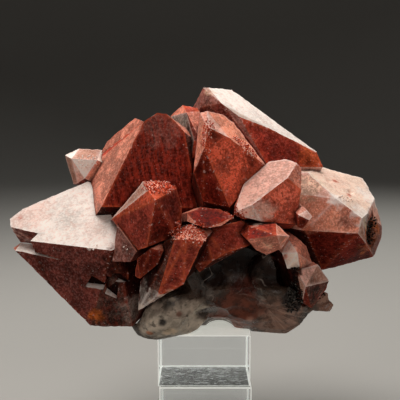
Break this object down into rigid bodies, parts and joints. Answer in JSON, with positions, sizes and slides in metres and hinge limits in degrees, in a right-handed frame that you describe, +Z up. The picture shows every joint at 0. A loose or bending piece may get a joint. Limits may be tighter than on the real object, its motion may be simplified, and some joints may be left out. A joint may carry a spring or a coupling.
{
  "type": "mineral specimen",
  "caption": "Cluster of red hematoid quartz crystals grown together on a clear quartz matrix, resting on a small clear block stand.",
  "frame": {"origin": "centre of the stand's foot, on the surface it stands on", "axes": "+Z up, +X along the longest side of the stone, -Y towards the show side"},
  "size_m": [0.1287, 0.089, 0.1215],
  "materials": {
    "hematoid_quartz": "satin",
    "clear_quartz": "gloss",
    "clear_acrylic": "gloss"
  },
  "bodies": {
    "root": {"crystal_cluster": "hematoid_quartz", "quartz_matrix": "clear_quartz", "stand_upper_block": "clear_acrylic", "stand_lower_block": "clear_acrylic"}
  },
  "joints": []
}
